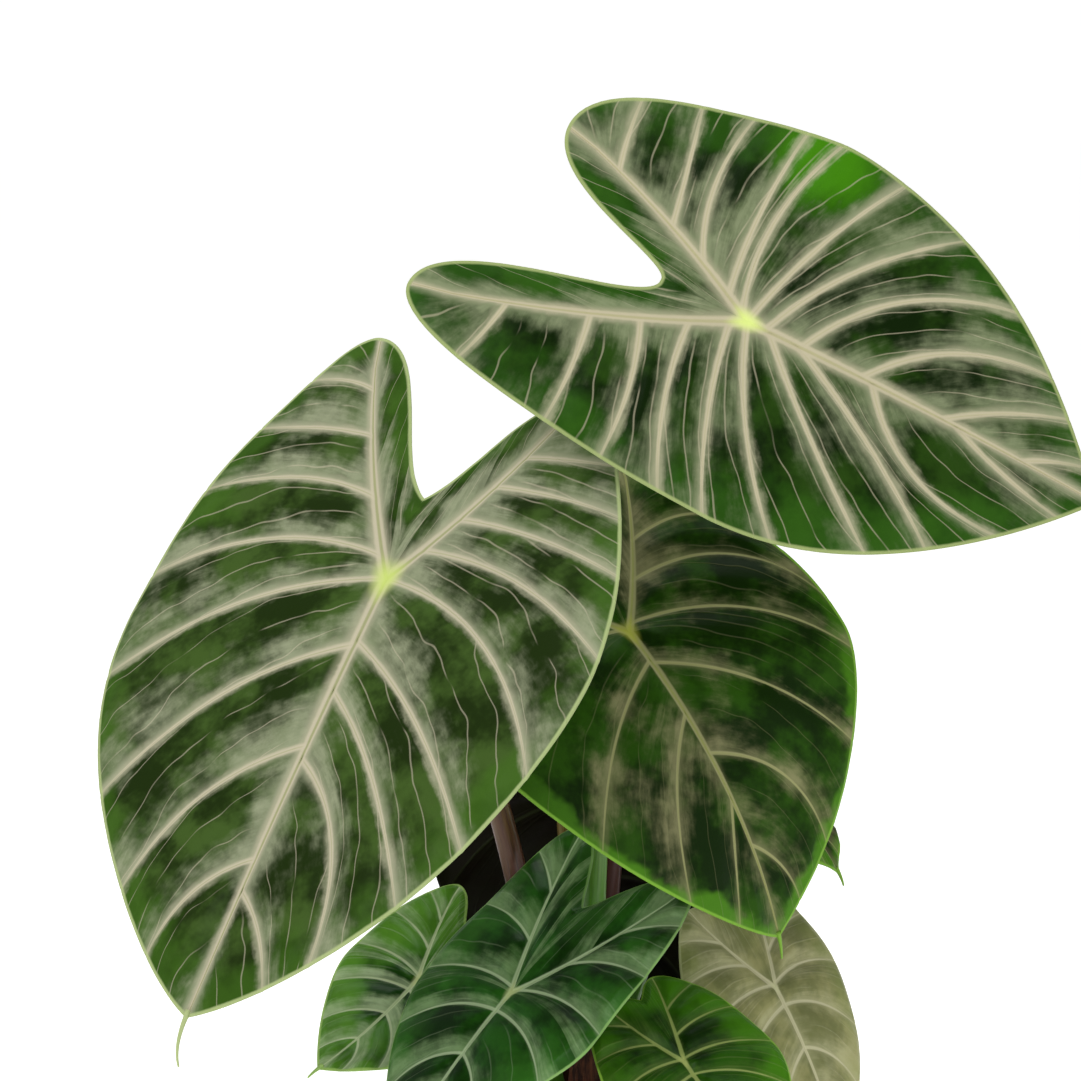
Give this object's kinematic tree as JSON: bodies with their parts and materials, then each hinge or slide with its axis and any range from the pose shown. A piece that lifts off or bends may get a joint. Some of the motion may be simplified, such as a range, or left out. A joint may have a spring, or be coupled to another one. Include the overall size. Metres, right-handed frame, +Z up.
{
  "type": "potted alocasia plant",
  "caption": "Potted alocasia with nine heart-shaped, pale-veined leaves on arching stems in a plain tapered ceramic pot.",
  "frame": {"origin": "centre of the pot's flat foot, on the surface it stands on and on the pot's axis", "axes": "+Z up along the pot's axis; -Y is the side the leaves face, the front; +X is to the right seen from the front"},
  "size_m": [0.4181, 0.2583, 0.5955],
  "materials": {
    "pot": "plain off-white stoneware, satin",
    "soil": null,
    "corm": "ringed brown corm skin, rough",
    "sheath": "dry papery brown leaf-base remains, matt",
    "stem_mahogany": null,
    "stem_green": null,
    "blade_silver": "dark green leaf with a silvery veil and wide cream veins, satin",
    "blade_olive": "olive-green leaf with muted veins and a lime margin, satin",
    "blade_sheen": "blue-green leaf with thin mint veins, glossy sheen",
    "blade_bright": "bright mid-green leaf with pale veins, satin",
    "blade_pale": "pale olive-grey leaf with lighter veins, matt",
    "blade_shaded": "very dark green leaf with a maroon underside, satin"
  },
  "bodies": {
    "root": {"pot": "pot", "potting_soil": "soil", "corm": "corm", "left_large_blade": "blade_silver", "left_large_petiole": "stem_mahogany", "upper_right_large_blade": "blade_silver", "upper_right_large_petiole": "stem_mahogany", "right_middle_blade": "blade_olive", "right_middle_petiole": "stem_green", "front_centre_blade": "blade_sheen", "front_centre_petiole": "stem_green", "lower_left_small_blade": "blade_sheen", "lower_left_small_petiole": "stem_green", "lower_right_bright_blade": "blade_bright", "lower_right_bright_petiole": "stem_green", "lower_right_pale_blade": "blade_pale", "lower_right_pale_petiole": "stem_green", "back_small_blade": "blade_olive", "back_small_petiole": "stem_green", "back_shaded_blade": "blade_shaded", "back_shaded_petiole": "stem_mahogany", "dry_sheath_front": "sheath", "dry_sheath_right": "sheath", "dry_sheath_back_left": "sheath"}
  },
  "joints": []
}
